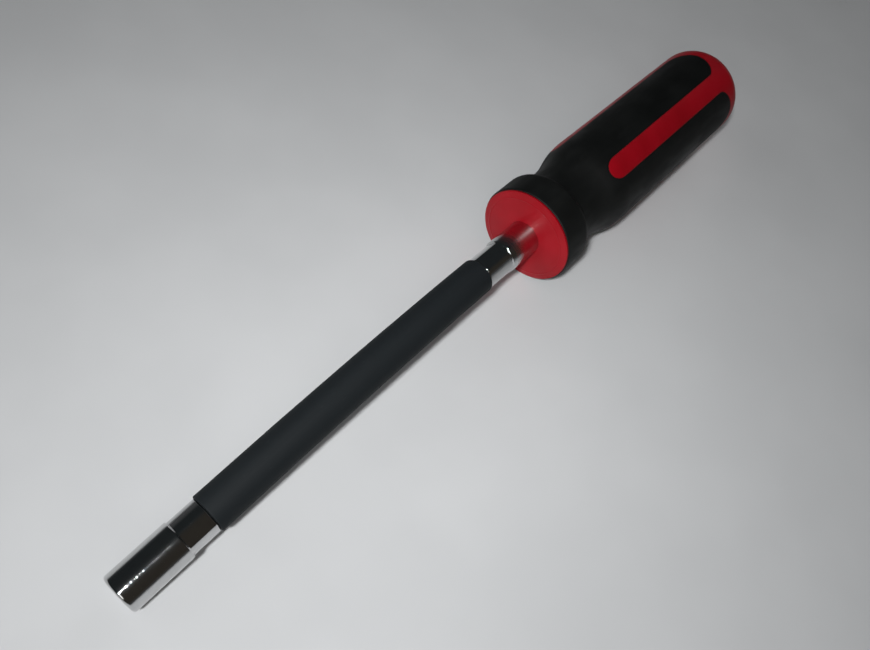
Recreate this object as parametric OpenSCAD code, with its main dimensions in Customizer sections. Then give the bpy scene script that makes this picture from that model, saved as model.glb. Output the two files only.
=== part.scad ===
// Nut driver with a flexible shaft, lying on a bench with its socket sagging onto the surface.
// The tool points along +X, from the butt of the handle to the mouth of the socket.
// The origin is on the bench, under the middle of the tool's length.

/* [Handle] */
// Length of the handle, from the flange face to the butt
handle_len = 112.5; // [104:0.5:130]
// Diameter of the black collar behind the flange
collar_d = 31; // [27:0.2:34]
// Length of the collar from the flange face, with its rounded rear edge
collar_len = 12.6; // [9:0.2:14]
// Radius of the collar's rounded rear edge
collar_round = 3; // [1.5:0.1:4]
// Diameter of the waist
waist_d = 25.5; // [22:0.1:27]
// Distance of the waist from the flange face
waist_at = 18.5; // [16:0.5:21]
// Diameter of the straight barrel
barrel_d = 31; // [28:0.2:34]
// Distance from the flange face at which the straight barrel starts
barrel_at = 35; // [28:0.5:38]
// Radius of the rounded shoulder of the butt
butt_round = 7; // [5:0.5:12]
// Radius of the shallow dome on the end of the butt
butt_dome = 28; // [20:1:60]

/* [Flange] */
// Diameter of the flange on the front of the handle
flange_d = 30.2; // [26:0.2:33]
// Thickness of the flange's rim
flange_rim = 1.1; // [0.9:0.1:2]
// Width of the bevelled ring round the flange face
flange_bevel = 2.1; // [0.5:0.1:4]
// Depth of the bevel at the rim
flange_bevel_h = 0.6; // [0.1:0.1:0.8]

/* [Inlays] */
// Number of rigid strips that show through the soft grip
strip_n = 4; // [3:1:4]
// Width of a strip
strip_w = 7.5; // [4:0.1:9]
// Distance from the flange face to the rounded front end of a strip
strip_front = 27.5; // [25:0.5:40]
// Turn of the first strip about the handle, from straight up
strip_turn = 24; // [0:1:45]
// Distance from the flange face to the rear ends of the soft tongues
tongue_end = 100; // [90:0.5:101]
// Corner radius of the soft tongues at their rear ends
tongue_corner = 5; // [2:0.1:6]

/* [Handle core] */
// Diameter of the rigid core under the collar and the waist
neck_d = 20; // [16:0.2:21]
// Diameter of the rigid core under the barrel
core_body_d = 24.8; // [22:0.2:26]
// Distance from the flange face at which the core is at its full diameter
core_body_at = 30; // [26:0.5:34]

/* [Ferrule] */
// Diameter of the plain part of the ferrule
ferrule_d = 10.7; // [10:0.1:12]
// Length of the ferrule in front of the flange
ferrule_len = 22; // [18:0.5:30]
// Length of the crimp at the front end of the ferrule
ferrule_crimp_len = 9.8; // [6:0.1:14]
// Width across the flats of the ferrule's crimp
ferrule_crimp_af = 9.9; // [9.2:0.1:10.2]
// Turn of the ferrule's crimp flats from straight up
ferrule_crimp_turn = -2; // [-30:1:30]
// Length of the ferrule's tang inside the handle
tang_len = 42; // [30:1:60]
// Span of the two wings that keep the tang from turning
wing_span = 15; // [12:0.5:18]
// Thickness of the wings
wing_t = 2.5; // [1.5:0.1:4]
// Length of the wings
wing_len = 12; // [6:0.5:20]

/* [Flexible shaft] */
// Length of the sleeve between the ferrule and the socket
sleeve_len = 98; // [80:1:140]
// Outer diameter of the sleeve
sleeve_d = 10.7; // [9.6:0.1:12]
// Diameter of the wound steel core
shaft_d = 7.2; // [6:0.1:7.6]
// Angle through which the shaft sags between the handle and the socket
sag = 8.04; // [2:0.01:14]
// Depth of the core's seat inside the ferrule
ferrule_seat = 18; // [12:0.5:22]
// Depth of the core's seat inside the socket
socket_seat = 8.5; // [6:0.5:9]

/* [Socket] */
// Outer diameter of the socket
socket_d = 10.6; // [10:0.1:12]
// Length of the socket in front of the sleeve
socket_len = 25; // [23:0.5:40]
// Width across the flats of the nut that the socket turns
nut_af = 7; // [5.5:0.5:7]
// Depth of the hexagon
hex_depth = 10; // [6:0.5:12]
// Diameter of the screw clearance hole behind the hexagon
screw_hole_d = 6.8; // [4.2:0.1:6.9]
// Depth of the screw clearance hole from the mouth
screw_hole_depth = 14.5; // [13:0.5:15]
// Length of the crimp at the rear end of the socket
socket_crimp_len = 7.7; // [5:0.1:9]
// Width across the flats of the socket's crimp
socket_crimp_af = 9.4; // [8.8:0.1:9.8]
// Turn of the socket's crimp flats from straight up
socket_crimp_turn = 24; // [-30:1:30]
// Chamfer round the socket's mouth
mouth_chamfer = 0.8; // [0.3:0.1:0.9]
// Lead-in chamfer on the corners of the hexagon
lead_in = 0.6; // [0.2:0.1:0.8]

/* [Clearances] */
// Gap between the rigid core and the soft grip moulded over it
mould_gap = 0.02; // [0.01:0.01:0.1]
// Gap round the core in its crimped seats
crimp_gap = 0.02; // [0.01:0.01:0.1]
// Gap between the core and the sleeve
sleeve_gap = 0.1; // [0.08:0.01:0.4]
// Gap at each end of the sleeve
sleeve_end_gap = 0.1; // [0.05:0.05:0.5]
// Gap between the lengths of the core
link_gap = 0.05; // [0.02:0.01:0.1]

/* [Hidden] */
$fn = 80;
// Small overlap that makes cuts run clear of a face
over = 1;

// The shaft bends at evenly spaced places, up and down at the odd ones and sideways at the even ones
bend_n = 15;
rise_n = (bend_n + 1) / 2;
pitch = sleeve_len / (bend_n + 1);
sag_step = sag / rise_n;

// How far the rounded ends of the core's lengths stand out past the core's own radius
ball_margin = 0.8;
shaft_r = shaft_d / 2;
ball_r = shaft_r + ball_margin;

// The crimps press the ferrule and the socket in a little at the corners too
corner_press = 0.15;
ferrule_crimp_r = ferrule_d / 2 - corner_press;
socket_crimp_r = socket_d / 2 - corner_press;
// Chamfer round the crimped ends
end_chamfer = 0.4;

// The neck of the rigid core widens over this length
neck_taper = 6;
// The strips and their windows start at this height, inside the rigid core
strip_floor = 5;
// Thin edge rounding at the front of the collar
collar_edge = 0.4;

// Arcs of one radius sweep from the waist out to the barrel
collar_r = collar_d / 2;
barrel_r = barrel_d / 2;
waist_r = waist_d / 2;
sweep_h = barrel_r - waist_r;
sweep_len = barrel_at - waist_at;
sweep_r = (sweep_len * sweep_len + sweep_h * sweep_h) / (4 * sweep_h);
sweep_mid = waist_at + sweep_len / 2;

// The butt's rounded shoulder runs into its dome without an edge
butt_hub = barrel_r - butt_round;
dome_reach = sqrt(pow(butt_dome - butt_round, 2) - butt_hub * butt_hub);
shoulder_at = handle_len - butt_dome + dome_reach;
dome_edge_r = butt_hub * butt_dome / (butt_dome - butt_round);

// The heading of each length of the shaft below the horizontal, and the place of each bend
function heading(k) = sag_step * ceil(k / 2);
function bend_x(k) = k == 0 ? ferrule_len : bend_x(k - 1) + pitch * cos(heading(k - 1));
function bend_z(k) = k == 0 ? axis_z : bend_z(k - 1) - pitch * sin(heading(k - 1));

// The tool lies on its collar and barrel, and its length is centred on the origin
axis_z = max(collar_r, barrel_r);
mouth_r = socket_d / 2 - mouth_chamfer;
front_reach = bend_x(bend_n + 1) + socket_len * cos(sag) + mouth_r * sin(sag);
flange_x = (handle_len - front_reach) / 2;

LINKS = [for (k = [1 : bend_n - 1]) str("core_link_", k)];

// Profiles are drawn as radius against distance behind the flange face
module turned_back()
{
    translate([flange_x, 0, axis_z])
    rotate([0, -90, 0])
    rotate_extrude()
    children();
}

// Profiles are drawn as radius against distance along X
module turned()
{
    rotate([0, 90, 0])
    rotate_extrude()
    children();
}

// A cylinder along X from x0 to x1
module rod(x0, x1, r)
{
    translate([x0, 0, 0])
    rotate([0, 90, 0])
    cylinder(h = x1 - x0, r = r);
}

// A cone along X from radius r0 at x0 to radius r1 at x1
module taper(x0, x1, r0, r1)
{
    translate([x0, 0, 0])
    rotate([0, 90, 0])
    cylinder(h = x1 - x0, r1 = r0, r2 = r1);
}

// A hexagonal bar along X with a flat turned by an angle from straight up toward +Y
module hex_bar(x0, x1, af, turn)
{
    translate([x0, 0, 0])
    rotate([-turn, 0, 0])
    rotate([0, 90, 0])
    rotate([0, 0, 30])
    cylinder(h = x1 - x0, d = af / cos(30), $fn = 6);
}

// Places what follows at a bend, along the heading of the length in front of it
module at_bend(k)
{
    translate([flange_x + bend_x(k), 0, bend_z(k)])
    rotate([0, heading(min(k, bend_n)), 0])
    children();
}

// Half outline of the collar, with rounded edges
module collar_outline()
{
    collar_front = flange_rim + mould_gap;
    straight_end = collar_len - collar_round;
    translate([0, collar_front])
    square([collar_r - collar_round, collar_len - collar_front]);
    translate([0, collar_front])
    square([collar_r - collar_edge, straight_end - collar_front]);
    translate([0, collar_front + collar_edge])
    square([collar_r, straight_end - collar_front - collar_edge]);
    translate([collar_r - collar_edge, collar_front + collar_edge])
    circle(collar_edge);
    translate([collar_r - collar_round, straight_end])
    circle(collar_round);
}

// Half outline of the waist and its sweep out to the barrel
module waist_outline()
{
    waist_front = collar_len - collar_round;
    difference()
    {
        translate([0, waist_front])
        square([waist_r + sweep_h / 2, sweep_mid - waist_front]);
        translate([waist_r + sweep_r, waist_at])
        circle(sweep_r);
    }
    intersection()
    {
        translate([0, sweep_mid])
        square([barrel_r, barrel_at - sweep_mid]);
        translate([barrel_r - sweep_r, barrel_at])
        circle(sweep_r);
    }
}

// Half outline of the butt, from a given distance behind the flange face
module butt_outline(from)
{
    intersection()
    {
        union()
        {
            translate([0, from])
            square([barrel_r, shoulder_at - from]);
            translate([0, shoulder_at])
            square([dome_edge_r, handle_len - shoulder_at]);
            translate([butt_hub, shoulder_at])
            circle(butt_round);
        }
        translate([0, from])
        square([barrel_r, handle_len - from]);
        translate([0, handle_len - butt_dome])
        circle(butt_dome);
    }
}

// Half outline of the soft grip's outside
module grip_outline()
{
    collar_outline();
    waist_outline();
    translate([0, barrel_at])
    square([barrel_r, tongue_end + over / 2 - barrel_at]);
}

// Half outline of the rigid core under the grip
module core_outline(gap)
{
    square([neck_d / 2 + gap, core_body_at]);
    taper_at = core_body_at - neck_taper;
    polygon([[0, taper_at], [neck_d / 2 + gap, taper_at], [core_body_d / 2 + gap, core_body_at], [0, core_body_at]]);
    translate([0, core_body_at])
    square([core_body_d / 2 + gap, tongue_end - core_body_at + over]);
}

// Half outline of the flange, with its bevelled ring
module flange_outline()
{
    flange_r = flange_d / 2;
    polygon([[0, 0], [flange_r - flange_bevel, 0], [flange_r, flange_bevel_h], [flange_r, flange_rim], [0, flange_rim]]);
}

// Plan of the rear end of a soft tongue, beside a strip, with its rounded corner
module tongue_plan(gap)
{
    corner = tongue_corner - gap;
    hub_x = tongue_corner - tongue_end;
    hub_y = tongue_corner + strip_w / 2;
    translate([hub_x, hub_y - corner])
    square([tongue_end, barrel_d]);
    translate([hub_x - corner, hub_y])
    square([tongue_end, barrel_d]);
    translate([hub_x, hub_y])
    circle(corner);
}

// Plan of one strip, which opens out behind the tongues: a round front end and straight sides
module strip_plan(gap)
{
    front = strip_front + strip_w / 2;
    translate([-front, 0])
    circle(strip_w / 2 + gap);
    difference()
    {
        translate([-tongue_end - over, -barrel_r])
        square([tongue_end + over - front, barrel_d]);
        tongue_plan(gap);
        mirror([0, 1])
        tongue_plan(gap);
    }
}

// The strips as prisms that stand out from inside the rigid core
module strips(gap)
{
    translate([flange_x, 0, axis_z])
    for (k = [0 : strip_n - 1])
    rotate([-strip_turn - k * 360 / strip_n, 0, 0])
    translate([0, 0, strip_floor])
    linear_extrude(height = barrel_d)
    strip_plan(gap);
}

// The ferrule's tang and wings, widened by a gap for their seat in the handle
module tang(gap)
{
    translate([flange_x, 0, axis_z])
    {
        rod(-tang_len - gap, 0, ferrule_d / 2 + gap);
        translate([-tang_len - gap, -wing_span / 2 - gap, -wing_t / 2 - gap])
        cube([wing_len + 2 * gap, wing_span + 2 * gap, wing_t + 2 * gap]);
    }
}

// Rigid plastic core: flange, neck, strips and butt in one moulding
module handle_core()
{
    color("crimson")
    difference()
    {
        union()
        {
            turned_back()
            {
                flange_outline();
                core_outline(0);
                butt_outline(tongue_end);
            }
            intersection()
            {
                turned_back()
                grip_outline();
                strips(0);
            }
        }
        tang(crimp_gap);
        translate([flange_x, 0, axis_z])
        rod(-over, over, ferrule_d / 2 + crimp_gap);
    }
}

// Soft grip moulded over the core: collar, waist and the tongues between the strips
module grip()
{
    color("dimgray")
    difference()
    {
        turned_back()
        difference()
        {
            grip_outline();
            core_outline(mould_gap);
        }
        strips(mould_gap);
    }
}

// A hexagonal crimp that ends at x1: a tube pressed in on six sides, its corners left round
module crimp(x0, x1, af, r, turn)
{
    intersection()
    {
        hex_bar(x0, x1, af, turn);
        union()
        {
            rod(x0, x1 - end_chamfer, r);
            taper(x1 - end_chamfer, x1, r, r - end_chamfer);
        }
    }
}

// Plated steel ferrule: tang, plain barrel and crimped front end
module ferrule()
{
    crimp_at = ferrule_len - ferrule_crimp_len;
    color("silver")
    difference()
    {
        union()
        {
            tang(0);
            translate([flange_x, 0, axis_z])
            {
                rod(0, crimp_at, ferrule_d / 2);
                crimp(crimp_at - over, ferrule_len, ferrule_crimp_af, ferrule_crimp_r, ferrule_crimp_turn);
            }
        }
        translate([flange_x, 0, axis_z])
        rod(ferrule_len - ferrule_seat, ferrule_len + over, shaft_r + crimp_gap);
    }
}

// Half outline of a length of the core from x0, with a rounded end that turns about the next bend
module length_outline(x0)
{
    intersection()
    {
        translate([0, x0])
        square([shaft_r, pitch + ball_r + over - x0]);
        union()
        {
            translate([0, x0])
            square([shaft_r, pitch - x0]);
            translate([0, pitch])
            circle(ball_r);
        }
    }
}

// Half outline of the hollow that takes the rounded end behind it
module seat_outline()
{
    circle(ball_r + link_gap);
}

// First length of the wound core, crimped into the ferrule
module core_root()
{
    color("slategray")
    at_bend(0)
    turned()
    length_outline(crimp_gap - ferrule_seat);
}

// One length of the wound core, from its bend to the next
module core_link(k)
{
    color("slategray")
    at_bend(k)
    turned()
    difference()
    {
        length_outline(0);
        seat_outline();
    }
}

// Last length of the wound core, crimped into the socket
module core_tip()
{
    color("slategray")
    at_bend(bend_n)
    turned()
    difference()
    {
        square([shaft_r, pitch + socket_seat - crimp_gap]);
        seat_outline();
    }
}

// Sleeve: one tube round the whole flexible length, along the arc of the sag
module sleeve()
{
    arc_r = sleeve_len / (sag * PI / 180);
    end_turn = sleeve_end_gap / sleeve_len * sag;
    color("darkslategray")
    translate([flange_x + ferrule_len, 0, axis_z - arc_r])
    rotate([-90, -90, 0])
    rotate([0, 0, end_turn])
    rotate_extrude(angle = sag - 2 * end_turn)
    translate([arc_r, 0])
    difference()
    {
        circle(sleeve_d / 2);
        circle(shaft_r + sleeve_gap);
    }
}

// Plated steel socket: crimped tail, barrel, hexagon and screw clearance hole
module socket()
{
    socket_r = socket_d / 2;
    hex_r = nut_af / 2;
    corner_r = hex_r / cos(30);
    color("silver")
    at_bend(bend_n + 1)
    difference()
    {
        union()
        {
            mirror([1, 0, 0])
            crimp(-socket_crimp_len - over, 0, socket_crimp_af, socket_crimp_r, socket_crimp_turn);
            rod(socket_crimp_len, socket_len - mouth_chamfer, socket_r);
            taper(socket_len - mouth_chamfer, socket_len, socket_r, mouth_r);
        }
        rod(-over, socket_seat, shaft_r + crimp_gap);
        rod(socket_len - screw_hole_depth, socket_len + over, screw_hole_d / 2);
        hex_bar(socket_len - hex_depth, socket_len + over, nut_af, 30);
        taper(socket_len - lead_in, socket_len + over, hex_r, corner_r + over);
    }
}

handle_core();
grip();
ferrule();
core_root();
for (k = [1 : bend_n - 1]) core_link(k);
core_tip();
sleeve();
socket();
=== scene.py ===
import math
import bmesh
import bpy
import numpy as np
from mathutils import Matrix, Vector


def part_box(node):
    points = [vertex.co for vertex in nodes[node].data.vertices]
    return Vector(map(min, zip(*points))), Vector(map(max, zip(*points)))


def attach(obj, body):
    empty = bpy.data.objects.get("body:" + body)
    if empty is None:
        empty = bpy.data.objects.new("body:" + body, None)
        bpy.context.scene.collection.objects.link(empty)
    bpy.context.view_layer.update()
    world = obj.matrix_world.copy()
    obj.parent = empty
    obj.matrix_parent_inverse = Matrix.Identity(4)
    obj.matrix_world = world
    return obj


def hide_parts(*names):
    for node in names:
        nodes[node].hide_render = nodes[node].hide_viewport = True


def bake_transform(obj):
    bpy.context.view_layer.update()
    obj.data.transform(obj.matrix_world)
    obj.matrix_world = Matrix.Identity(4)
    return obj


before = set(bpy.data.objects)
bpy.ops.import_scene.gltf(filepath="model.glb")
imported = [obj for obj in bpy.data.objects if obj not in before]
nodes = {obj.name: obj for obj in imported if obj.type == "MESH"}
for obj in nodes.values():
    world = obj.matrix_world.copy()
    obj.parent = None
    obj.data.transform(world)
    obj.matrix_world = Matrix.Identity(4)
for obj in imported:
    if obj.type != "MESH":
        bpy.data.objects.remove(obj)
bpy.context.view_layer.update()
scene = bpy.context.scene
mm = 0.001
axisAhead, axisBack, axisSide, axisUp = (1.0, 0.0, 0.0), (-1.0, 0.0, 0.0), (0.0, 1.0, 0.0), (0.0, 0.0, 1.0)

# the tool's main line, in mm: the flange face and the handle's axis come from the solids
gripLow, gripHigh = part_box("grip")
tool = {
    "flangeX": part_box("handle_core")[1][0] / mm, "axisZ": (gripLow[2] + gripHigh[2]) / 2 / mm,
    "ferruleLen": 22.0, "sleeveLen": 98.0, "sag": math.radians(8.04), "socketLen": 25.0, "bends": 15,
}
tool["arcR"] = tool["sleeveLen"] / tool["sag"]
tool["pitch"] = tool["sleeveLen"] / (tool["bends"] + 1)
flangeSpot = (tool["flangeX"], 0.0, tool["axisZ"])


# camera: its place is measured from the middle of the flange face

shot = {
    "focalPx": 834.72, "wide": 870, "sensor": 36.0, "clip": (0.01, 50), "place": (161.656, 48.416, 187.469),
    "right": (-0.64767736, 0.72656307, 0.22939082),
    "down": (0.55640652, 0.65671464, -0.50905565),
    "forward": (-0.52050535, -0.20206927, -0.82960364),
}


def setCamera():
    camData = bpy.data.cameras.new("shotCamera")
    camData.sensor_fit = "HORIZONTAL"
    camData.sensor_width = shot["sensor"]
    camData.lens = shot["sensor"] * shot["focalPx"] / shot["wide"]
    camData.clip_start, camData.clip_end = shot["clip"]
    cam = bpy.data.objects.new("shotCamera", camData)
    scene.collection.objects.link(cam)
    turn = np.eye(4)
    turn[:3, 0] = shot["right"]
    turn[:3, 1] = -np.array(shot["down"])
    turn[:3, 2] = -np.array(shot["forward"])
    turn[:3, 3] = (np.array(flangeSpot) + np.array(shot["place"])) * mm
    cam.matrix_world = Matrix(turn.tolist())
    scene.camera = cam


setCamera()
print("camera set")


# shader maths: a Wire is a socket that can stand in an expression

class Wire:
    def __init__(self, finish, socket):
        self.finish, self.socket = finish, socket

    def math(self, operation, first, second=0.0):
        return self.finish.add("ShaderNodeMath", {"operation": operation}, {0: first, 1: second})

    def __add__(self, other):
        return self.math("ADD", self, other)

    def __sub__(self, other):
        return self.math("SUBTRACT", self, other)

    def __rsub__(self, other):
        return self.math("SUBTRACT", other, self)

    def __mul__(self, other):
        return self.math("MULTIPLY", self, other)

    def __mod__(self, other):
        return self.math("FLOORED_MODULO", self, other)

    def __pow__(self, other):
        return self.math("POWER", self, other)

    def __abs__(self):
        return self.math("ABSOLUTE", self)

    def most(self, other):
        return self.math("MAXIMUM", self, other)

    def over(self, other):
        return self.math("GREATER_THAN", self, other)

    def sine(self):
        return self.math("SINE", self)

    __radd__ = __add__
    __rmul__ = __mul__


class Finish:
    def __init__(self, tree):
        self.tree = tree
        tree.nodes.clear()

    # any node: its type, its settings, then the values or links of its sockets
    def add(self, kind, settings=None, sockets=None, out=0):
        made = self.tree.nodes.new(kind)
        for name, value in (settings or {}).items():
            setattr(made, name, value)
        for name, value in (sockets or {}).items():
            if isinstance(value, Wire):
                self.tree.links.new(value.socket, made.inputs[name])
            else:
                made.inputs[name].default_value = value
        return Wire(self, made.outputs[out]) if len(made.outputs) else made

    # object coordinates in mm, moved so that a place is at zero
    def place(self, centre=(0, 0, 0)):
        spot = self.add("ShaderNodeTexCoord", out="Object")
        spot = self.add("ShaderNodeVectorMath", {"operation": "SCALE"}, {0: spot, "Scale": 1 / mm})
        return self.add("ShaderNodeVectorMath", {"operation": "SUBTRACT"}, {0: spot, 1: centre})

    def stretch(self, vector, by):
        return self.add("ShaderNodeVectorMath", {"operation": "MULTIPLY"}, {0: vector, 1: by})

    def along(self, vector, axis):
        return self.add("ShaderNodeVectorMath", {"operation": "DOT_PRODUCT"}, {0: vector, 1: axis}, out="Value")

    # how far a place is from the handle's axis: sideways, upward and in all
    def across(self, spot):
        side, up = self.along(spot, axisSide), self.along(spot, axisUp)
        return side, up, (side * side + up * up) ** 0.5

    def noise(self, vector, scale, detail):
        given = {"Vector": vector, "Scale": scale, "Detail": detail}
        return self.add("ShaderNodeTexNoise", {"noise_dimensions": "3D"}, given)

    def lines(self, value, scale, detail):
        given = {"W": value, "Scale": scale, "Detail": detail}
        return self.add("ShaderNodeTexNoise", {"noise_dimensions": "1D"}, given)

    def fade(self, value, low, high):
        given = {0: value, 1: low, 2: high, 3: 0.0, 4: 1.0}
        return self.add("ShaderNodeMapRange", {"interpolation_type": "SMOOTHSTEP"}, given)

    def colours(self, share, first, second):
        ends = [tone if isinstance(tone, Wire) else (*tone, 1) for tone in (first, second)]
        return self.add("ShaderNodeMix", {"data_type": "RGBA"}, {0: share, 6: ends[0], 7: ends[1]}, out=2)

    def bump(self, height, strength, distance, below=None):
        given = {"Height": height, "Strength": strength, "Distance": distance}
        if below:
            given["Normal"] = below
        return self.add("ShaderNodeBump", None, given)

    def shade(self, sockets):
        face = self.add("ShaderNodeBsdfPrincipled", None, sockets)
        self.add("ShaderNodeOutputMaterial", None, {"Surface": face})


def newFinish(name):
    made = bpy.data.materials.new(name)
    made.use_nodes = True
    return made, Finish(made.node_tree)


# the moulding line between the soft grip and the rigid strips, in mm: half a strip's width, where strips begin
# and tongues end, and the lengths of a strip's nose and a tongue's tip, which are half ovals

inlay = {
    "count": 4, "turn": math.radians(23.65), "half": 3.5, "front": 29.5, "nose": 4.6, "end": 101.7, "tip": 5.9,
    "radius": 15.5, "ovalRows": 18, "sweepRows": 5, "barrelRows": 12,
}
inlay["share"] = 2 * math.pi / inlay["count"]
inlay["tongue"] = inlay["radius"] * math.sin(inlay["share"] / 2 - math.asin(inlay["half"] / inlay["radius"]))


# distance in mm from the moulding line, more than zero on the soft side: the sides of the nearest strip,
# its nose and the tips of the tongues
def fromInlay(f, spot):
    back = f.along(spot, axisBack)
    side, up, radius = f.across(spot)
    share, half = inlay["share"], inlay["half"]
    angle = f.add("ShaderNodeMath", {"operation": "ARCTAN2"}, {0: side, 1: up})
    folded = abs((angle + (share / 2 - inlay["turn"])) % share - share / 2)
    fromStrip, fromTongue = radius * folded.sine(), radius * (share / 2 - folded).sine()
    ahead = (inlay["front"] + inlay["nose"] - back).most(0) * (half / inlay["nose"])
    atFront = (ahead * ahead + fromStrip * fromStrip) ** 0.5 - half
    past = (back - (inlay["end"] - inlay["tip"])).most(0) * (inlay["tongue"] / inlay["tip"])
    atRear = inlay["tongue"] - (past * past + fromTongue * fromTongue) ** 0.5
    return atFront + (atRear - atFront) * back.over((inlay["front"] + inlay["end"]) / 2)


# finishes: a noise is given by its scale and detail, a fade by where it starts and ends, a lay by how much a pattern
# is squeezed each way, a bump by its strength and its height in metres

rubber = {
    "deep": (0.0030, 0.0034, 0.0033), "worn": (0.0048, 0.0054, 0.0052), "dust": (0.03, 0.031, 0.03),
    "cloud": (0.11, 3), "cloudFade": (0.3, 0.7), "speck": (2.3, 1), "speckFade": (0.71, 0.78), "speckShare": 0.2,
    "polish": (0.16, 2), "polishLay": (0.35, 1, 1), "polishFade": (0.35, 0.65), "rough": (0.50, 0.66),
    "grain": (5.5, 2), "grainRough": 0.05, "grainBump": (0.22, 0.00004), "lip": 0.45, "lipBump": (0.5, 0.00025),
    "shine": 0.24,
}


def gripRubber():
    made, f = newFinish("gripRubber")
    g, spot = rubber, f.place(flangeSpot)
    cloud, grain = f.noise(spot, *g["cloud"]), f.noise(spot, *g["grain"])
    specks = f.fade(f.noise(spot, *g["speck"]), *g["speckFade"])
    polish = f.fade(f.noise(f.stretch(spot, g["polishLay"]), *g["polish"]), *g["polishFade"])
    lip = f.fade(fromInlay(f, spot), 0.0, g["lip"])
    tone = f.colours(f.fade(cloud, *g["cloudFade"]), g["deep"], g["worn"])
    tone = f.colours(specks * g["speckShare"], tone, g["dust"])
    low, high = g["rough"]
    rounded = f.bump(lip, *g["lipBump"])
    f.shade({
        "Base Color": tone, "Roughness": high - polish * (high - low) + grain * g["grainRough"],
        "Specular IOR Level": g["shine"], "Normal": f.bump(grain, *g["grainBump"], rounded),
    })
    return made


red = {
    "main": (0.315, 0.0024, 0.0090), "deep": (0.262, 0.0016, 0.0065), "scuff": (0.38, 0.018, 0.026),
    "line": (0.08, 0.0012, 0.003), "lineShare": 0.6, "cloud": (0.09, 2), "cloudFade": (0.3, 0.7), "haze": (0.8, 3),
    "scratch": (1.4, 2), "scratchLay": (0.25, 3.2, 3.2), "scratchFade": (0.66, 0.74), "scratchShare": 0.12,
    "scratchRough": 0.08, "rough": (0.34, 0.46), "grain": (3.0, 2), "grainBump": (0.10, 0.00004),
    "lip": 0.35, "beadAt": 13.0, "bead": 0.35, "edgeBump": (0.4, 0.0002), "handleFade": (2.0, 3.0), "shine": 0.24,
}


def redPlastic():
    made, f = newFinish("redPlastic")
    g, spot = red, f.place(flangeSpot)
    cloud, haze = f.noise(spot, *g["cloud"]), f.noise(spot, *g["haze"])
    scratch = f.fade(f.noise(f.stretch(spot, g["scratchLay"]), *g["scratch"]), *g["scratchFade"])
    onHandle = f.fade(f.along(spot, axisBack), *g["handleFade"])
    lip = f.fade(0 - fromInlay(f, spot), 0.0, g["lip"])
    bead = f.fade(abs(f.across(spot)[2] - g["beadAt"]), g["bead"], 0.0)
    tone = f.colours(f.fade(cloud, *g["cloudFade"]), g["deep"], g["main"])
    tone = f.colours(scratch * g["scratchShare"], tone, g["scuff"])
    tone = f.colours((1 - lip) * onHandle * g["lineShare"], tone, g["line"])
    low, high = g["rough"]
    rounded = f.bump(lip * onHandle + bead * (1 - onHandle), *g["edgeBump"])
    f.shade({
        "Base Color": tone, "Roughness": low + haze * (high - low) + scratch * g["scratchRough"],
        "Specular IOR Level": g["shine"], "Normal": f.bump(f.noise(spot, *g["grain"]), *g["grainBump"], rounded),
    })
    return made


plating = {
    "bright": (0.60, 0.603, 0.606), "dull": (0.47, 0.47, 0.465), "haze": (0.5, 3), "hazeFade": (0.35, 0.75),
    "hazeShare": 0.4, "pits": (3.4, 1), "pitFade": (0.70, 0.78), "pitShare": 0.25, "rings": (6.5, 3),
    "rough": 0.045, "hazeRough": 0.04, "ringRough": 0.05, "pitRough": 0.08, "bump": (0.23, 0.00006),
    "ringHigh": 0.45, "barrelHigh": 0.55, "hazeHigh": 0.15, "blur": 0.3,
    "ferruleRun": (-50.0, 12.0), "socketRun": (8.1, 24.2),
}


# turned plating: fine rings across the given axis, from a place on it, stronger over the barrel's run
def turnedPlating(name, start, axis, barrel):
    made, f = newFinish(name)
    g, spot = plating, f.place(start)
    run, (low, high), blur = f.along(spot, axis), barrel, g["blur"]
    onBarrel = f.fade(run, low - blur, low + blur) * f.fade(run, high + blur, high - blur)
    rings, haze = f.lines(run, *g["rings"]), f.noise(spot, *g["haze"])
    pits = f.fade(f.noise(spot, *g["pits"]), *g["pitFade"])
    wear = f.fade(haze, *g["hazeFade"]) * g["hazeShare"] + pits * g["pitShare"]
    rough = g["rough"] + haze * g["hazeRough"] + onBarrel * rings * g["ringRough"] + pits * g["pitRough"]
    height = rings * (g["ringHigh"] + onBarrel * g["barrelHigh"]) + haze * g["hazeHigh"]
    f.shade({
        "Base Color": f.colours(wear, g["bright"], g["dull"]), "Roughness": rough, "Metallic": 1.0,
        "Normal": f.bump(height, *g["bump"]),
    })
    return made


wound = {
    "light": (0.45, 0.45, 0.46), "dark": (0.12, 0.12, 0.125), "wire": 0.9, "slant": 0.35, "ridgeFade": (0.1, 0.7),
    "stain": (0.6, 3), "stained": 0.6, "rough": 0.28, "stainRough": 0.2, "bump": (0.8, 0.0002),
}


# wires side by side round the core, darker in the grooves between them
def woundSteel():
    made, f = newFinish("woundSteel")
    g, spot = wound, f.place()
    ridge = abs((f.along(spot, (1 / g["wire"], g["slant"], 0)) * math.pi).sine())
    stain = f.noise(spot, *g["stain"])
    share = f.fade(ridge, *g["ridgeFade"]) * (g["stained"] + stain * (1 - g["stained"]))
    f.shade({
        "Base Color": f.colours(share, g["dark"], g["light"]), "Roughness": g["rough"] + stain * g["stainRough"],
        "Metallic": 1.0, "Normal": f.bump(ridge, *g["bump"]),
    })
    return made


tube = {
    "deep": (0.0068, 0.0090, 0.0106), "pale": (0.0118, 0.0148, 0.0168), "rub": (0.036, 0.041, 0.043), "round": 33.6,
    "streak": (1.0, 3), "streakLay": (1.6, 0.02, 1), "cloud": (1.0, 2), "cloudLay": (0.1, 0.05, 1),
    "rubs": (1.0, 3), "rubLay": (0.9, 0.25, 1), "rubFade": (0.63, 0.75), "rubShare": 0.12, "rough": (0.60, 0.72),
    "grain": (4.5, 2), "grainRough": 0.06, "grainHigh": 0.5, "bump": (0.14, 0.00005), "shine": 0.18,
}


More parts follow.
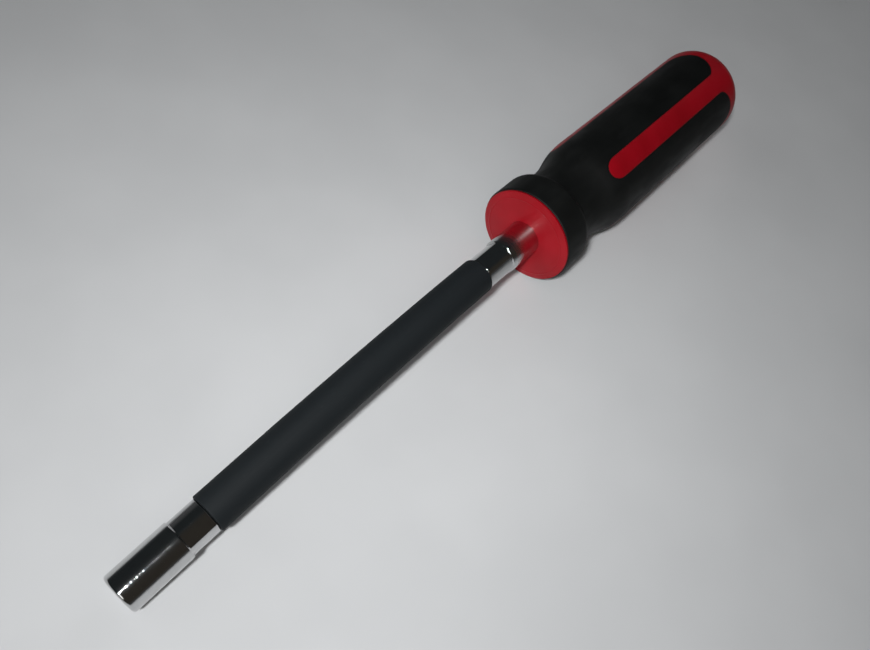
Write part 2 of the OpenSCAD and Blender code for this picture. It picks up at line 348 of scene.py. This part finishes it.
# matt extruded tube: streaks along its length, from its own lay of angle and run
def sleevePlastic():
    made, f = newFinish("sleevePlastic")
    g, lay = tube, f.add("ShaderNodeUVMap", {"uv_map": "lay"})
    lay = f.stretch(lay, (g["round"], tool["sleeveLen"], 1))
    streak = f.noise(f.stretch(lay, g["streakLay"]), *g["streak"])
    cloud = f.noise(f.stretch(lay, g["cloudLay"]), *g["cloud"])
    grain = f.noise(lay, *g["grain"])
    rubs = f.fade(f.noise(f.stretch(lay, g["rubLay"]), *g["rubs"]), *g["rubFade"])
    tone = f.colours(streak * 0.5 + cloud * 0.5, g["deep"], g["pale"])
    tone = f.colours(rubs * g["rubShare"], tone, g["rub"])
    low, high = g["rough"]
    f.shade({
        "Base Color": tone, "Roughness": low + cloud * (high - low) + grain * g["grainRough"],
        "Specular IOR Level": g["shine"], "Normal": f.bump(grain * g["grainHigh"] + streak, *g["bump"]),
    })
    return made


socketAxis = (math.cos(tool["sag"]), 0.0, -math.sin(tool["sag"]))
socketStart = (
    tool["flangeX"] + tool["ferruleLen"] + tool["arcR"] * math.sin(tool["sag"]), 0.0,
    tool["axisZ"] - tool["arcR"] * (1 - math.cos(tool["sag"])),
)
finishes = {
    "grip": gripRubber(),
    "handle_core": redPlastic(),
    "ferrule": turnedPlating("ferrulePlating", flangeSpot, axisAhead, plating["ferruleRun"]),
    "socket": turnedPlating("socketPlating", socketStart, socketAxis, plating["socketRun"]),
    "core": woundSteel(),
    "sleeve": sleevePlastic(),
}
for name, node in nodes.items():
    node.data.materials.clear()
    node.data.materials.append(finishes["core" if name.startswith("core_") else name])
print("finishes made:", len(finishes))


# welds and slivers in metres, the angle from which an edge is sharp, and where the lay's seam lies
meshing = {"weld": 1e-6, "sliver": 1e-7, "sharp": math.radians(38), "seam": (0.25, 0.75)}


# surfaces: a grid of rows by columns, in mm, closed both ways or capped at each end; a welded one is made of
# patches side by side, whose rows and columns may meet in a point or a line
def gridPiece(name, points, finish, ring=False, lay=None, weld=0):
    rows, cols = points.shape[:2]
    flat = points.reshape(-1, 3)
    down = np.arange(rows if ring else rows - 1)[:, None]
    over = np.arange(cols)
    if weld > 1:
        over = over[(over + 1) % (cols // weld) > 0]
    over = over[None, :]

    def corner(row, col):
        return ((row % rows) * cols + col % cols).ravel()

    quads = np.stack([corner(down, over), corner(down, over + 1),
                      corner(down + 1, over + 1), corner(down + 1, over)], axis=1)
    spread = flat[quads] - flat.mean(axis=0)
    bulk = np.einsum("ij,ij->i", spread[:, 0], np.cross(spread[:, 1], spread[:, 2])).sum()
    bulk += np.einsum("ij,ij->i", spread[:, 0], np.cross(spread[:, 2], spread[:, 3])).sum()
    if bulk < 0:  # faces point outwards
        quads = quads[:, ::-1]
    faces = quads.tolist()
    if not ring and not weld:
        first, last = list(range(cols)), list(range((rows - 1) * cols, rows * cols))
        faces += [first if bulk < 0 else first[::-1], last[::-1] if bulk < 0 else last]
    mesh = bpy.data.meshes.new(name)
    mesh.from_pydata((flat * mm).tolist(), [], faces)
    if weld:
        shell = bmesh.new()
        shell.from_mesh(mesh)
        bmesh.ops.remove_doubles(shell, verts=shell.verts, dist=meshing["weld"])
        bmesh.ops.dissolve_degenerate(shell, edges=shell.edges, dist=meshing["sliver"])
        print(name, "open edges:", sum(len(edge.link_faces) != 2 for edge in shell.edges))
        shell.to_mesh(mesh)
        shell.free()
    if lay is not None:  # angle across, run along
        cornerAt = np.zeros(len(mesh.loops), int)
        mesh.loops.foreach_get("vertex_index", cornerAt)
        uv = lay.reshape(-1, 2)[cornerAt]
        owner = np.repeat(np.arange(len(mesh.polygons)), [len(p.vertices) for p in mesh.polygons])
        highest = np.zeros(len(mesh.polygons))
        np.maximum.at(highest, owner, uv[:, 0])
        low, high = meshing["seam"]
        uv[(highest[owner] > high) & (uv[:, 0] < low), 0] += 1  # the seam closes
        mesh.uv_layers.new(name="lay").data.foreach_set("uv", uv.astype(np.float32).ravel())
    mesh.shade_smooth()
    mesh.set_sharp_from_angle(angle=meshing["sharp"])
    mesh.materials.append(finish)
    piece = bpy.data.objects.new(name, mesh)
    scene.collection.objects.link(piece)
    return piece


def ease(value, low, high):
    part = np.clip((value - low) / (high - low), 0, 1)
    return part * part * (3 - 2 * part)


# a six-sided bar with rounded corners inside a round one, as a radius for each angle:
# the flats and the round limit are joined by a high power mean, so the corners stay smooth
def softHex(angle, flats, turn, limit, power):
    faceAt = turn + np.arange(6) * math.pi / 3
    near = np.clip(np.cos(angle[:, None] - faceAt), 0, None) / (flats / 2)
    return ((near ** power).sum(axis=1) + limit ** -power) ** (-1 / power)


# rows of radius over angle, carried along a straight axis from a start; angles go from up toward +Y
def turnedPoints(start, axis, run, radius, angle):
    up = np.array([-axis[2], 0.0, axis[0]])
    around = np.cos(angle)[..., None] * up + np.sin(angle)[..., None] * np.array(axisSide)
    spine = np.array(start) + np.asarray(run)[:, None] * np.array(axis)
    return spine[:, None] + radius[..., None] * around


# an edge rounded by a quarter circle: places along it and how far it stands back, from the outer side in
def quarter(size, steps):
    turn = np.linspace(0, math.pi / 2, steps)
    return size * np.sin(turn), size * (1 - np.cos(turn))


grip = {
    "front": 1.12, "edge": 0.4, "collarEnd": 9.6, "round": 3.0, "waistR": 12.75, "waistAt": 18.5, "barrelAt": 35.0,
    "gap": 0.02, "cols": 33, "edgeRows": 5, "collarRows": 4, "roundRows": 14, "waistRows": 36,
    "tries": 2000, "tiny": 1e-9,
}
core = {
    "neckR": 10.0, "bodyR": 12.4, "bodyAt": 30.0, "taper": 6.0, "bore": 5.37, "pocketR": 7.7, "pocket": (29.7, 42.3),
    "flangeR": 15.1, "bevel": 2.1, "bevelHigh": 0.6, "rim": 1.1, "buttRound": 7.0, "buttDome": 28.0, "len": 112.5,
    "cols": 33, "shoulderRows": 16, "domeRows": 14,
}


# outside radius of the grip at a distance behind the flange face: the collar and its rounded rear edge, a hollow
# arc at the waist, and an equal full arc that takes it out to the straight barrel
def gripRadius(back):
    g, barrel = grip, inlay["radius"]
    rise, reach = barrel - g["waistR"], g["barrelAt"] - g["waistAt"]
    arc = (reach ** 2 + rise ** 2) / (4 * rise)
    hollow = g["waistR"] + arc - np.sqrt(np.clip(arc ** 2 - (back - g["waistAt"]) ** 2, 0, None))
    full = barrel - arc + np.sqrt(np.clip(arc ** 2 - np.clip(g["barrelAt"] - back, 0, None) ** 2, 0, None))
    swept = np.where(back < g["waistAt"] + reach / 2, hollow, full)
    return np.where(back < g["collarEnd"], barrel, np.maximum(collarRound(back), swept))


# the collar's rounded rear edge
def collarRound(back):
    size = grip["round"]
    return inlay["radius"] - size + np.sqrt(size ** 2 - np.clip(back - grip["collarEnd"], 0, size) ** 2)


# radius of the rigid core under the grip: the neck, a taper, and the body
def coreRadius(back):
    part = np.clip((back - core["bodyAt"]) / core["taper"] + 1, 0, 1)
    return core["neckR"] + (core["bodyR"] - core["neckR"]) * part


# how far a strip reaches on each side of its middle, as an angle: a half-oval nose, straight sides, and what the
# half-oval tip of a tongue leaves
def stripAngle(back, radius):
    g = inlay
    ahead = np.clip((g["front"] - back) / g["nose"] + 1, 0, 1)
    side = np.arcsin(g["half"] * np.sqrt(1 - ahead ** 2) / radius)
    past = np.clip((back - g["end"]) / g["tip"] + 1, 0, 1)
    rear = g["share"] / 2 - np.arcsin(g["tongue"] * np.sqrt(1 - past ** 2) / radius)
    return np.where(past > 0, rear, side)


# rows from the front end of the strips to the rear end of the tongues, closer where the moulding line turns
def stripRows():
    g, turn = inlay, np.linspace(0, math.pi / 2, inlay["ovalRows"])
    nose = g["front"] + g["nose"] * (1 - np.cos(turn))
    tip = g["end"] - g["tip"] * (1 - np.sin(turn))
    sweep = np.linspace(nose[-1], grip["barrelAt"], g["sweepRows"])
    between = np.union1d(sweep, np.linspace(grip["barrelAt"], tip[0], g["barrelRows"]))
    return np.concatenate([nose, between[1:-1], tip])


# one sector's angles and radii for each row, carried round the handle
def sectorPoints(back, angle, radius):
    middle = inlay["turn"] + np.arange(inlay["count"]) * inlay["share"]
    around = (middle[:, None] + angle[:, None, :]).reshape(len(back), -1)
    return turnedPoints(flangeSpot, axisAhead, -back, np.tile(radius, inlay["count"]), around)


# soft grip: the outside from the collar's front to the tips of the tongues, walls down the sides of the slots, and
# the inside back to the front; in front of the strips the four sectors meet
def gripPiece():
    g, strips, share = grip, stripRows(), inlay["share"]
    ahead, inward = quarter(g["edge"], g["edgeRows"])
    near = np.linspace(g["collarEnd"], g["collarEnd"] + g["round"], g["tries"])  # where the waist starts
    crease = near[np.argmax(gripRadius(near) > collarRound(near) + g["tiny"])]
    bend = np.linspace(0, math.asin((crease - g["collarEnd"]) / g["round"]), g["roundRows"])
    plain = np.concatenate([
        np.linspace(g["front"] + 2 * g["edge"], g["collarEnd"], g["collarRows"]),
        g["collarEnd"] + g["round"] * np.sin(bend[1:]),
        np.linspace(crease, inlay["front"], g["waistRows"])[1:],
    ])
    first = np.concatenate([g["front"] + g["edge"] - ahead[::-1], plain])
    firstR = np.concatenate([inlay["radius"] - inward[::-1], gripRadius(plain)])
    inside = np.concatenate([strips[::-1], [core["bodyAt"] - core["taper"], g["front"]]])
    back = np.concatenate([first, strips, inside])
    top = np.concatenate([firstR, gripRadius(strips), coreRadius(inside) + g["gap"]])
    wall = np.concatenate([firstR, coreRadius(strips) + g["gap"], coreRadius(inside) + g["gap"]])
    slot = stripAngle(strips, gripRadius(strips))
    slot = np.concatenate([np.zeros(len(first)), slot, slot[::-1], [0.0, 0.0]])
    part = np.concatenate([[0.0], np.linspace(0, 1, g["cols"]), [1.0]])
    radius = np.repeat(top[:, None], len(part), axis=1)
    radius[:, 0], radius[:, -1] = wall, wall
    angle = slot[:, None] + (share - 2 * slot)[:, None] * part
    points = sectorPoints(back, angle, radius)
    piece = gridPiece("grip_soft", points, finishes["grip"], ring=True, weld=inlay["count"])
    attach(piece, "handle")
    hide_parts("grip")


# rigid core: the tang's pocket and bore, the flange with its bevelled ring, the neck, the body under the tongues with
# the strips standing out of it, and the butt's rounded shoulder and dome
def corePiece():
    g, strips, share, barrel = core, stripRows(), inlay["share"], inlay["radius"]
    shallow, deep = g["pocket"]
    inner = [(deep, 0.0), (deep, g["pocketR"]), (shallow, g["pocketR"]), (shallow, g["bore"]), (0.0, g["bore"])]
    flange = [(0.0, g["flangeR"] - g["bevel"]), (g["bevelHigh"], g["flangeR"]), (g["rim"], g["flangeR"]),
              (g["rim"], g["neckR"]), (g["bodyAt"] - g["taper"], g["neckR"])]
    first, firstR = np.array(inner + flange + [(inlay["front"], float(coreRadius(inlay["front"])))]).T
    hub, domeAt = barrel - g["buttRound"], g["len"] - g["buttDome"]
    lean = math.asin(hub / (g["buttDome"] - g["buttRound"]))
    shoulder = np.linspace(0, math.pi / 2 - lean, g["shoulderRows"])
    dome = np.linspace(lean, 0, g["domeRows"])[1:]
    shoulderAt = domeAt + (g["buttDome"] - g["buttRound"]) * math.cos(lean)
    butt = np.concatenate([[inlay["end"]], shoulderAt + g["buttRound"] * np.sin(shoulder),
                           domeAt + g["buttDome"] * np.cos(dome)])
    buttR = np.concatenate([[barrel], hub + g["buttRound"] * np.cos(shoulder), g["buttDome"] * np.sin(dome)])
    back = np.concatenate([first, strips, butt])
    onStrip = np.concatenate([firstR, gripRadius(strips), buttR])
    under = np.concatenate([firstR, coreRadius(strips), buttR])
    slot = np.concatenate([np.zeros(len(first)), stripAngle(strips, gripRadius(strips)),
                           np.full(len(butt), share / 2)])[:, None]
    angle = np.concatenate([slot * np.linspace(-1, 1, g["cols"]),
                            slot + (share - 2 * slot) * np.linspace(0, 1, g["cols"])], axis=1)
    radius = np.repeat(np.stack([onStrip, under], axis=1), g["cols"], axis=1)
    piece = gridPiece("core_red", sectorPoints(back, angle, radius), finishes["handle_core"], weld=1)
    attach(piece, "handle")
    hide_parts("handle_core")


gripPiece()
corePiece()
print("grip and core made")


# ferrule and socket, in mm: beside, before and past are how far a row lies from an edge

ferrule = {
    "barrel": 5.35, "tang": 42.0, "wingLen": 12.0, "wingSpan": 15.0, "wingThick": 2.5, "crimpAt": 12.2,
    "flats": 9.9, "turn": math.radians(-2), "limit": 5.2, "power": 15.0, "step": 0.5, "edge": 0.4, "bore": 3.62,
    "seat": 18.0, "cols": 240, "plainAt": (-15.0, 0.0, 6.0), "beside": 0.2, "past": 0.3,
    "stepRows": 9, "crimpRows": 6, "edgeRows": 6, "tiny": 1e-6,
}


# ferrule: tang with two wings, plain barrel, a short step down to the crimp, rounded end and the core's seat
def ferrulePiece():
    g, long = ferrule, tool["ferruleLen"]
    wingTip, wingRoot = math.atan2(g["wingThick"], g["wingSpan"]), math.asin(g["wingThick"] / 2 / g["barrel"])
    corners = [half + sign * turn for half in (math.pi / 2, 3 * math.pi / 2)
               for sign in (-1, 1) for turn in (wingTip, wingRoot)]
    angle = np.union1d(np.linspace(0, 2 * np.pi, g["cols"], endpoint=False), corners)
    wings = np.minimum(g["wingSpan"] / 2 / np.maximum(abs(np.sin(angle)), g["tiny"]),
                       g["wingThick"] / 2 / np.maximum(abs(np.cos(angle)), g["tiny"]))
    plain, bore = np.full_like(angle, g["barrel"]), np.full_like(angle, g["bore"])
    crimped = softHex(angle, g["flats"], g["turn"], g["limit"], g["power"])
    wingEnd, stepAt = g["wingLen"] - g["tang"], g["crimpAt"] - g["step"]
    stepRuns = np.linspace(stepAt, g["crimpAt"], g["stepRows"])
    crimpRuns = np.linspace(g["crimpAt"] + g["past"], long - g["edge"] - g["beside"], g["crimpRows"])
    ahead, inward = quarter(g["edge"], g["edgeRows"])
    rows = [(run, np.maximum(plain, wings)) for run in (-g["tang"], wingEnd)]
    rows += [(run, plain) for run in (wingEnd, *g["plainAt"], stepAt - g["beside"])]
    rows += [(run, plain + (crimped - plain) * ease(run, stepAt, g["crimpAt"])) for run in stepRuns]
    rows += [(run, crimped) for run in crimpRuns]
    rows += [(run, crimped - drop) for run, drop in zip(long - g["edge"] + ahead, inward)]
    rows += [(run, bore) for run in (long, long - g["past"], long - g["seat"])]
    runs, radii = zip(*rows)
    points = turnedPoints(flangeSpot, axisAhead, runs, np.array(radii), angle)
    piece = gridPiece("ferrule_plated", points, finishes["ferrule"])
    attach(piece, "handle")
    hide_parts("ferrule")


socket = {
    "barrel": 5.3, "crimpLen": 7.7, "flats": 9.4, "turn": math.radians(24), "limit": 5.15, "power": 15.0,
    "step": 0.45, "edge": 0.4, "round": 0.8, "leadIn": 0.6, "leadR": 4.07, "lip": 0.03, "lipWide": 0.06,
    "nut": 7.0, "nutTurn": math.radians(30), "nutLimit": 9.0, "nutPower": 90.0, "hexDepth": 10.0, "hexMiddle": 4.0,
    "holeR": 3.4, "holeDepth": 14.5, "bore": 3.62, "seat": 8.5, "cols": 240, "beside": 0.2, "past": 0.3,
    "before": 0.15, "stepRows": 9, "crimpRows": 6, "barrelRows": 8, "edgeRows": 6, "mouthRows": 10, "leadRows": 6,
}


# socket: core's seat, rounded tail, crimp, step up to the barrel, rounded mouth, lead-in, hexagon and hole
def socketPiece():
    g, long = socket, tool["socketLen"]
    angle = np.linspace(0, 2 * np.pi, g["cols"], endpoint=False)

    def level(radius):
        return np.full_like(angle, radius)

    plain, crimped = level(g["barrel"]), softHex(angle, g["flats"], g["turn"], g["limit"], g["power"])
    nut = softHex(angle, g["nut"], g["nutTurn"], g["nutLimit"], g["nutPower"])
    stepEnd = g["crimpLen"] + g["step"]
    crimpRuns = np.linspace(g["edge"] + g["beside"], g["crimpLen"] - g["past"], g["crimpRows"])
    stepRuns = np.linspace(g["crimpLen"], stepEnd, g["stepRows"])
    barrelRuns = np.linspace(stepEnd + g["beside"], long - g["round"] - g["before"], g["barrelRows"])
    tailAhead, tailInward = quarter(g["edge"], g["edgeRows"])
    mouthAhead, mouthInward = quarter(g["round"], g["mouthRows"])
    rows = [(run, level(g["bore"])) for run in (g["seat"], g["past"], 0.0)]
    rows += [(run, crimped - drop) for run, drop in zip(g["edge"] - tailAhead[::-1], tailInward[::-1])]
    rows += [(run, crimped) for run in crimpRuns]
    rows += [(run, crimped + (plain - crimped) * ease(run, g["crimpLen"], stepEnd)) for run in stepRuns]
    rows += [(run, plain) for run in barrelRuns]
    rows += [(run, plain - drop) for run, drop in zip(long - g["round"] + mouthAhead, mouthInward)]
    rows += [(long, level(g["leadR"] + g["lipWide"]))]
    rows += [(long - g["lip"] - (g["leadIn"] - g["lip"]) * part,
              np.maximum(nut, g["leadR"] + (g["nut"] / 2 - g["leadR"]) * part))
             for part in np.linspace(0, 1, g["leadRows"])]
    rows += [(run, nut) for run in (long - g["hexMiddle"], long - g["hexDepth"])]
    rows += [(run, level(g["holeR"])) for run in (long - g["hexDepth"], long - g["holeDepth"])]
    runs, radii = zip(*rows)
    points = turnedPoints(socketStart, socketAxis, runs, np.array(radii), angle)
    piece = gridPiece("socket_plated", points, finishes["socket"])
    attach(piece, "socket")
    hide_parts("socket")


ferrulePiece()
socketPiece()
print("ferrule and socket made")


# where the flexible part is at a run from the ferrule, and its upward direction
def arcAt(run):
    turn = run / tool["arcR"]
    zero = np.zeros_like(turn)
    spot = np.stack([tool["flangeX"] + tool["ferruleLen"] + tool["arcR"] * np.sin(turn), zero,
                     tool["axisZ"] - tool["arcR"] * (1 - np.cos(turn))], axis=-1)
    return spot, np.stack([np.sin(turn), zero, np.cos(turn)], axis=-1)


sleeve = {
    "outer": 5.35, "inner": 3.72, "gap": 0.1, "edge": 0.3, "rows": 13, "edgeRows": 7, "cols": 96,
    "waver": 0.012, "lobes": 3, "twist": 0.21,
}
bodyOrder = ["handle"] + [f"shaft_{k}" for k in range(1, tool["bends"])] + ["socket"]


# one length of tube round each bend: outside radius with rounded ends and a slight waver, and the bore
def sleeveLength(k):
    g, pitch, last, whole = sleeve, tool["pitch"], tool["bends"], tool["sleeveLen"]
    low = g["gap"] if k == 1 else (k - 0.5) * pitch
    high = whole - g["gap"] if k == last else (k + 0.5) * pitch
    run = np.linspace(low, high, g["rows"] * (2 if k in (1, last) else 1))
    if k in (1, last):  # close rows at the rounded end
        near = np.linspace(0, g["edge"], g["edgeRows"])[1:]
        run = np.union1d(run, low + near if k == 1 else high - near)
    angle = np.linspace(0, 2 * np.pi, g["cols"], endpoint=False)
    fromEnd = np.minimum(run - g["gap"], whole - g["gap"] - run)
    dip = np.clip(g["edge"] - fromEnd, 0, None)
    outer = g["outer"] - g["edge"] + np.sqrt(np.clip(g["edge"] ** 2 - dip ** 2, 0, None))
    outer = outer[:, None] - g["waver"] * (1 + np.sin(g["lobes"] * angle + run[:, None] * g["twist"])) / 2
    radius = np.concatenate([outer, np.full_like(outer, g["inner"])[::-1]])
    bothRuns = np.concatenate([run, run[::-1]])
    spot, up = arcAt(bothRuns)
    around = up[:, None] * np.cos(angle)[None, :, None] + np.array(axisSide) * np.sin(angle)[None, :, None]
    points = spot[:, None] + radius[..., None] * around
    lay = np.stack(np.broadcast_arrays(angle[None] / (2 * np.pi), bothRuns[:, None] / whole), axis=-1)
    piece = gridPiece(f"sleeve_{k}", points, finishes["sleeve"], ring=True, lay=lay)
    ends = [tuple(arcAt(np.array([(k + half) * pitch]))[0][0] * mm) for half in (-0.5, 0.5)]
    pair = [(bodyOrder[k - 1], ends[0]), (bodyOrder[k], ends[1])]
    if k == last:  # the pair is listed from the socket's side, because from the handle's side it tears at the pose all_max
        pair.reverse()
    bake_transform(piece)
    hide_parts("sleeve")


for k in range(1, tool["bends"] + 1):
    sleeveLength(k)
print("sleeve made in", tool["bends"], "lengths")


# stage: floor, lamps, surroundings

floor = {
    "size": 3.0, "pale": (0.565, 0.575, 0.585), "soft": (0.535, 0.545, 0.555), "cloud": (0.02, 3),
    "cloudFade": (0.3, 0.7), "grain": (1.2, 2), "bump": (0.05, 0.00005), "rough": 0.55, "shine": 0.25,
}


def pavedFloor():
    made, f = newFinish("paleFloor")
    g, spot = floor, f.place()
    f.shade({
        "Base Color": f.colours(f.fade(f.noise(spot, *g["cloud"]), *g["cloudFade"]), g["soft"], g["pale"]),
        "Roughness": g["rough"], "Specular IOR Level": g["shine"],
        "Normal": f.bump(f.noise(spot, *g["grain"]), *g["bump"]),
    })
    half = g["size"] / 2
    mesh = bpy.data.meshes.new("floor")
    mesh.from_pydata([(-half, -half, 0), (half, -half, 0), (half, half, 0), (-half, half, 0)], [], [(0, 1, 2, 3)])
    mesh.materials.append(made)
    piece = bpy.data.objects.new("floor", mesh)
    scene.collection.objects.link(piece)


lamps = {
    "keyLamp": {"place": (0.28, 0.043, 0.36), "aim": (0.02, 0.01, 0.0), "size": 0.04, "power": 0.34, "spread": 76,
                "glossy": True},
    "fillLamp": {"place": (0.75, 0.30, 0.60), "aim": (0.0, 0.0, 0.0), "size": 0.6, "power": 1.2, "spread": 180,
                 "glossy": True},
    "sideLamp": {"place": (0.50, -0.80, 0.45), "aim": (0.0, 0.0, 0.0), "size": 0.7, "power": 1.2, "spread": 180,
                 "glossy": False},
    "backLamp": {"place": (-1.00, -0.10, 0.45), "aim": (0.0, 0.0, 0.0), "size": 0.7, "power": 2.0, "spread": 180,
                 "glossy": False},
}


# a round lamp that faces its aim; one that isn't glossy lights the tool but shows in no reflection
def hangLamp(name, given):
    data = bpy.data.lights.new(name, "AREA")
    data.shape, data.size, data.energy = "DISK", given["size"], given["power"]
    data.spread = math.radians(given["spread"])
    lamp = bpy.data.objects.new(name, data)
    lamp.visible_glossy = given["glossy"]
    scene.collection.objects.link(lamp)
    back = np.array(given["place"]) - np.array(given["aim"])
    back = back / np.linalg.norm(back)
    right = np.cross(axisSide, back)
    right = right / np.linalg.norm(right)
    turn = np.eye(4)
    turn[:3, 0], turn[:3, 1], turn[:3, 2], turn[:3, 3] = right, np.cross(back, right), back, given["place"]
    lamp.matrix_world = Matrix(turn.tolist())


room = {
    "overhead": (0.018, 0.021, 0.022), "warm": (0.034, 0.030, 0.025), "level": (0.075, 0.077, 0.079),
    "rise": (0.0, 0.22), "warmFade": (0.0, 0.6), "strength": 1.0,
}


# surroundings: pale at eye level, darker overhead, a little warmer toward +Y
def setRoom():
    world = bpy.data.worlds.new("room")
    scene.world = world
    world.use_nodes = True
    f = Finish(world.node_tree)
    ray = f.add("ShaderNodeTexCoord", out="Generated")
    above = f.colours(f.fade(f.along(ray, axisSide), *room["warmFade"]), room["overhead"], room["warm"])
    tone = f.colours(f.fade(f.along(ray, axisUp), *room["rise"]), room["level"], above)
    sky = f.add("ShaderNodeBackground", None, {"Color": tone, "Strength": room["strength"]})
    f.add("ShaderNodeOutputWorld", None, {"Surface": sky})


pavedFloor()
for name, given in lamps.items():
    hangLamp(name, given)
setRoom()
scene.view_settings.view_transform = "Standard"
print("stage set")
